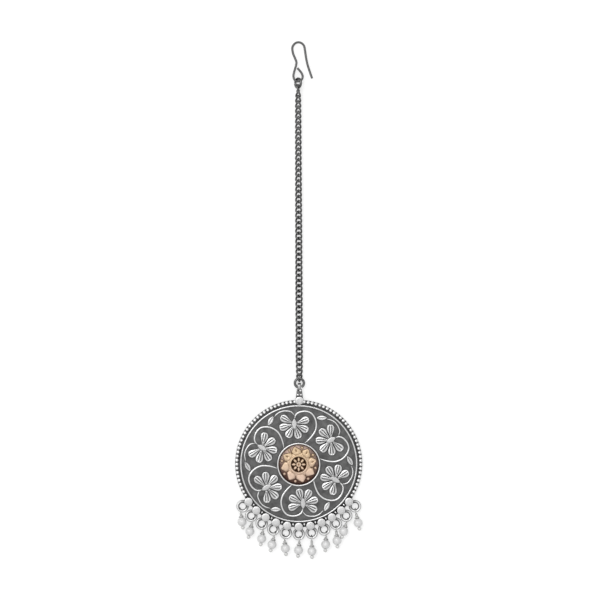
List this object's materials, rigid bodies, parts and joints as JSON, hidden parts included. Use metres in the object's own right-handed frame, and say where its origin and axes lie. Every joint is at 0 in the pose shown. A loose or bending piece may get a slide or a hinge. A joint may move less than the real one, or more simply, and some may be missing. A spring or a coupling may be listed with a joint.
{
  "type": "maang tikka",
  "caption": "Forehead jewel laid flat: a bent wire hook and fine curb chain hold a round cast pendant with flower relief, a gold-tone rosette and a fringe of pearl drops.",
  "frame": {"origin": "centre of the pendant's flat back face", "axes": "+X to the wearer's left as the face is seen, +Y up the chain to the hook, +Z out of the pendant's face"},
  "size_m": [0.0398, 0.1617, 0.0029],
  "materials": {
    "oxidised_alloy": "oxidised silver-tone plating, raised parts polished bright",
    "gold_tone_alloy": "matt gold-tone plating on a dark copper ground",
    "dark_wire": "oxidised silver-tone plating",
    "bright_wire": "silver-tone plating",
    "pearl": "smooth pearl"
  },
  "bodies": {
    "root": {"pendant": "oxidised_alloy", "rosette": "gold_tone_alloy", "jump_ring": "dark_wire", "chain": "dark_wire", "hook_ring": "dark_wire", "hook": "dark_wire", "pearl_01": "pearl", "pin_01": "bright_wire", "pearl_02": "pearl", "pin_02": "bright_wire", "pearl_03": "pearl", "pin_03": "bright_wire", "pearl_04": "pearl", "pin_04": "bright_wire", "pearl_05": "pearl", "pin_05": "bright_wire", "pearl_06": "pearl", "pin_06": "bright_wire", "pearl_07": "pearl", "pin_07": "bright_wire", "pearl_08": "pearl", "pin_08": "bright_wire", "pearl_09": "pearl", "pin_09": "bright_wire", "pearl_10": "pearl", "pin_10": "bright_wire", "pearl_11": "pearl", "pin_11": "bright_wire"}
  },
  "joints": []
}
